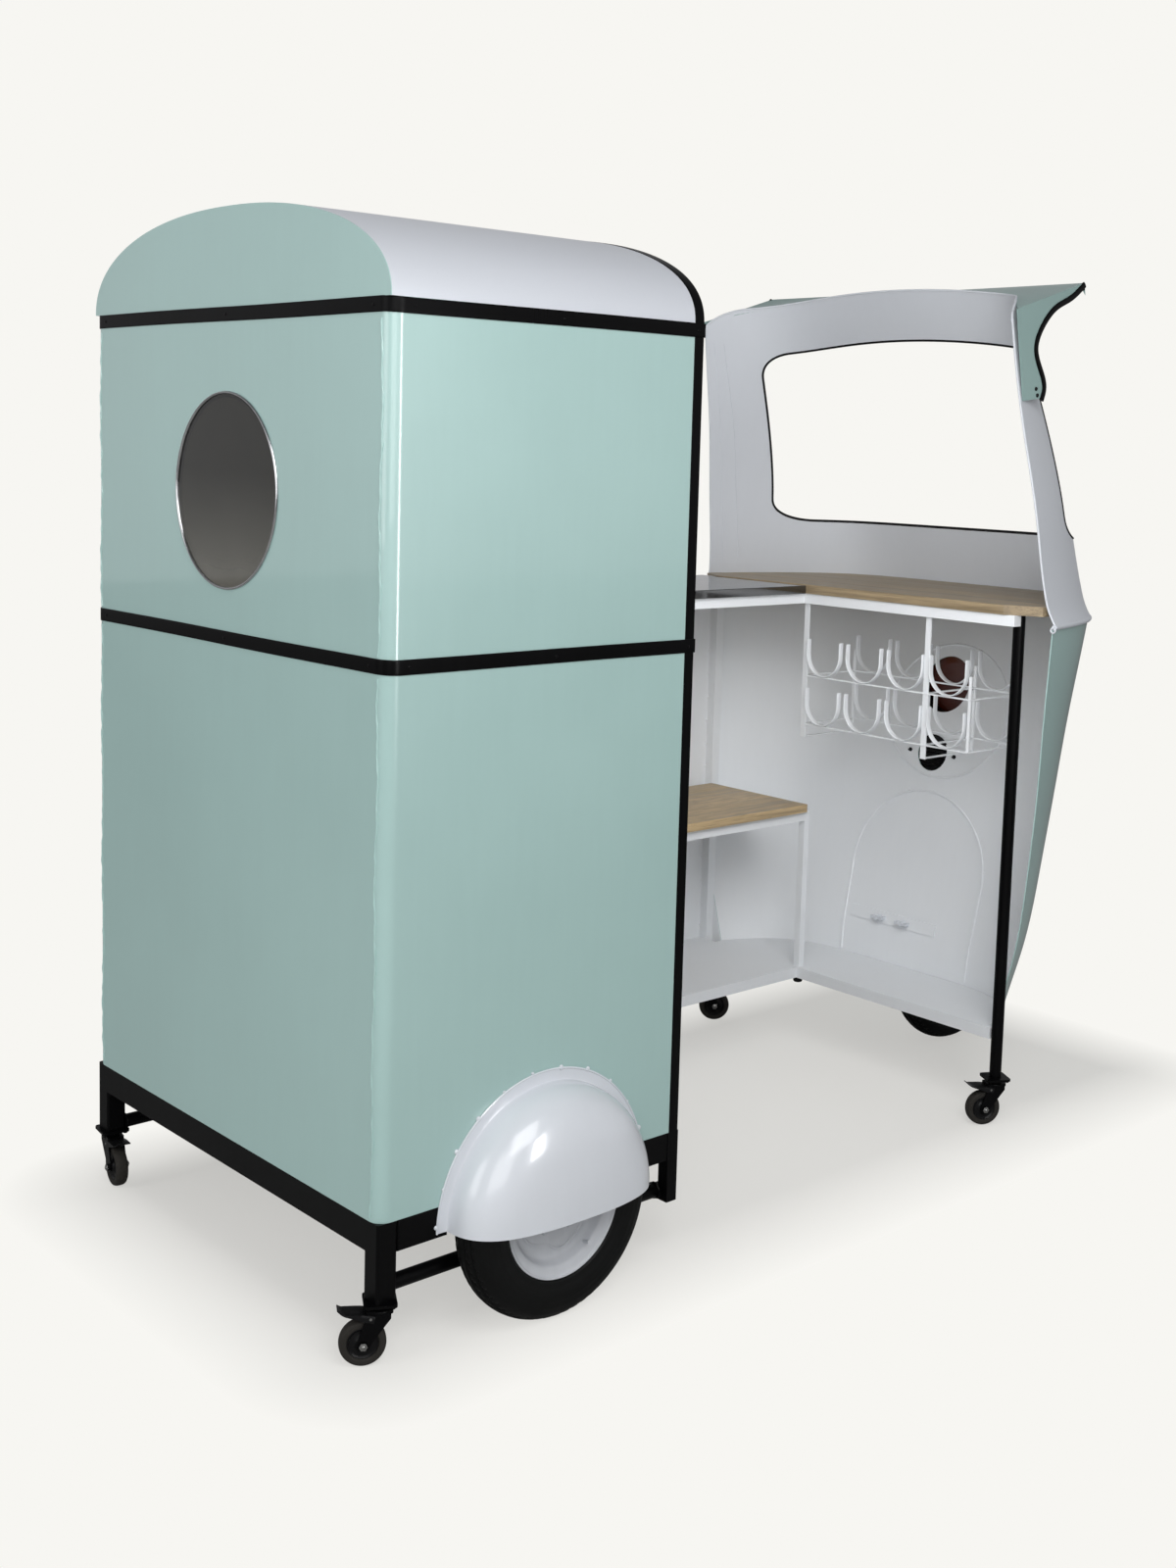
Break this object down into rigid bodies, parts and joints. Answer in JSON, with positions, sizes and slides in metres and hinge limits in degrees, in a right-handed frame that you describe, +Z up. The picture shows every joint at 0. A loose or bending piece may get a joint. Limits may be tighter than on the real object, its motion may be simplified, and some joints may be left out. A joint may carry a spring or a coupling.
{
  "type": "tuk-tuk bar",
  "caption": "Free-standing mobile bar shaped like a three-wheeler: arched cabinet with porthole, counter arm, cab front with open windscreen frame, road wheels and braked castors.",
  "frame": {"origin": "on the floor, in the middle of the plan", "axes": "+X towards the cab front, +Y towards the counter arm, +Z up"},
  "size_m": [2.4206, 1.2262, 1.958],
  "materials": {
    "mint_paint": "satin mint green paint",
    "silver_paint": "silver-white paint",
    "black_paint": "black paint",
    "white_paint": "white paint",
    "counter_wood": "oiled boards",
    "shelf_board": "pale board",
    "black_slab": "polished black",
    "chrome": "polished",
    "dark_glass": "dark glass",
    "amber_glass": "amber lens",
    "rubber": "matt rubber",
    "tyre": "black tyre rubber",
    "zinc_steel": "zinc plated",
    "grey_steel": "grey paint",
    "castor_rubber": "dark rubber tread",
    "black_plastic": "black"
  },
  "bodies": {
    "bar": {"cabinet_chassis": "black_paint", "lower_skin": "mint_paint", "upper_skin": "mint_paint", "mid_band": "black_paint", "top_band": "black_paint", "rear_arch_panel": "mint_paint", "roof_skin": "silver_paint", "front_portal": "black_paint", "coupling_bolts": "zinc_steel", "inner_frame": "white_paint", "cabinet_floor": "shelf_board", "cabinet_shelves": "shelf_board", "porthole_rim": "chrome", "porthole_glass": "dark_glass", "porthole_gasket": "rubber", "right_fender": "white_paint", "left_fender": "white_paint", "rear_axle": "zinc_steel", "front_axle": "zinc_steel", "front_fork": "black_paint", "castor_plates": "zinc_steel", "nose_shell": "mint_paint", "nose_lip": "black_paint", "windscreen_frame": "white_paint", "windscreen_rubber": "rubber", "sun_visor": "mint_paint", "visor_trim": "black_paint", "headlamp_housing": "mint_paint", "headlamp_lens": "amber_glass", "horn_grille": "black_paint", "front_mudguard": "mint_paint", "bar_frame": "white_paint", "black_post": "black_paint", "floor_sheet": "white_paint", "arm_wall": "mint_paint", "counter_boards": "counter_wood", "shelf_boards": "counter_wood", "slab_top": "black_slab", "rack_frame": "grey_steel", "bottle_cradles": "grey_steel", "wing_nut_bracket": "zinc_steel", "wing_nuts": "zinc_steel"},
    "right_wheel": {"right_rim": "white_paint", "right_tyre": "tyre"},
    "left_wheel": {"left_rim": "white_paint", "left_tyre": "tyre"},
    "front_wheel": {"front_rim": "white_paint", "front_tyre": "tyre"},
    "castor_swivel_rear_right": {"castor_fork_rear_right": "zinc_steel"},
    "castor_roller_rear_right": {"castor_wheel_rear_right": "castor_rubber"},
    "castor_brake_rear_right": {"castor_pedal_rear_right": "black_plastic"},
    "castor_swivel_rear_left": {"castor_fork_rear_left": "zinc_steel"},
    "castor_roller_rear_left": {"castor_wheel_rear_left": "castor_rubber"},
    "castor_brake_rear_left": {"castor_pedal_rear_left": "black_plastic"},
    "castor_swivel_cab_right": {"castor_fork_cab_right": "zinc_steel"},
    "castor_roller_cab_right": {"castor_wheel_cab_right": "castor_rubber"},
    "castor_brake_cab_right": {"castor_pedal_cab_right": "black_plastic"},
    "castor_swivel_cab_left": {"castor_fork_cab_left": "zinc_steel"},
    "castor_roller_cab_left": {"castor_wheel_cab_left": "castor_rubber"},
    "castor_brake_cab_left": {"castor_pedal_cab_left": "black_plastic"}
  },
  "joints": [
    {"name": "right_wheel_spin", "type": "hinge", "parent": "bar", "child": "right_wheel", "pos_m": [-0.8042, -0.525, 0.203], "axis": [0, 1, 0], "continuous": true},
    {"name": "left_wheel_spin", "type": "hinge", "parent": "bar", "child": "left_wheel", "pos_m": [-0.8042, 0.525, 0.203], "axis": [0, 1, 0], "continuous": true},
    {"name": "front_wheel_spin", "type": "hinge", "parent": "bar", "child": "front_wheel", "pos_m": [1.00733, 0, 0.203], "axis": [0, 1, 0], "continuous": true},
    {"name": "castor_rear_right_swivel", "type": "hinge", "parent": "bar", "child": "castor_swivel_rear_right", "pos_m": [-1.1392, -0.48, 0.112], "axis": [0, 0, 1], "continuous": true},
    {"name": "castor_rear_right_roll", "type": "hinge", "parent": "castor_swivel_rear_right", "child": "castor_roller_rear_right", "pos_m": [-1.16345, -0.466, 0.04], "axis": [-0.5, -0.866, 0], "continuous": true},
    {"name": "castor_rear_right_brake", "type": "hinge", "parent": "castor_swivel_rear_right", "child": "castor_brake_rear_right", "pos_m": [-1.15305, -0.472, 0.086], "axis": [-0.5, -0.866, 0], "range_deg": [0, 10]},
    {"name": "castor_rear_left_swivel", "type": "hinge", "parent": "bar", "child": "castor_swivel_rear_left", "pos_m": [-1.1392, 0.48, 0.112], "axis": [0, 0, 1], "continuous": true},
    {"name": "castor_rear_left_roll", "type": "hinge", "parent": "castor_swivel_rear_left", "child": "castor_roller_rear_left", "pos_m": [-1.14309, 0.45227, 0.04], "axis": [0.9903, -0.1392, 0], "continuous": true},
    {"name": "castor_rear_left_brake", "type": "hinge", "parent": "castor_swivel_rear_left", "child": "castor_brake_rear_left", "pos_m": [-1.14142, 0.46416, 0.086], "axis": [0.9903, -0.1392, 0], "range_deg": [0, 10]},
    {"name": "castor_cab_right_swivel", "type": "hinge", "parent": "bar", "child": "castor_swivel_cab_right", "pos_m": [0.5828, -0.465, 0.112], "axis": [0, 0, 1], "continuous": true},
    {"name": "castor_cab_right_roll", "type": "hinge", "parent": "castor_swivel_cab_right", "child": "castor_roller_cab_right", "pos_m": [0.55856, -0.451, 0.04], "axis": [-0.5, -0.866, 0], "continuous": true},
    {"name": "castor_cab_right_brake", "type": "hinge", "parent": "castor_swivel_cab_right", "child": "castor_brake_cab_right", "pos_m": [0.56895, -0.457, 0.086], "axis": [-0.5, -0.866, 0], "range_deg": [0, 10]},
    {"name": "castor_cab_left_swivel", "type": "hinge", "parent": "bar", "child": "castor_swivel_cab_left", "pos_m": [0.5838, 0.4875, 0.112], "axis": [0, 0, 1], "continuous": true},
    {"name": "castor_cab_left_roll", "type": "hinge", "parent": "castor_swivel_cab_left", "child": "castor_roller_cab_left", "pos_m": [0.60525, 0.4695, 0.04], "axis": [0.6428, 0.766, 0], "continuous": true},
    {"name": "castor_cab_left_brake", "type": "hinge", "parent": "castor_swivel_cab_left", "child": "castor_brake_cab_left", "pos_m": [0.59606, 0.47722, 0.086], "axis": [0.6428, 0.766, 0], "range_deg": [0, 10]}
  ]
}
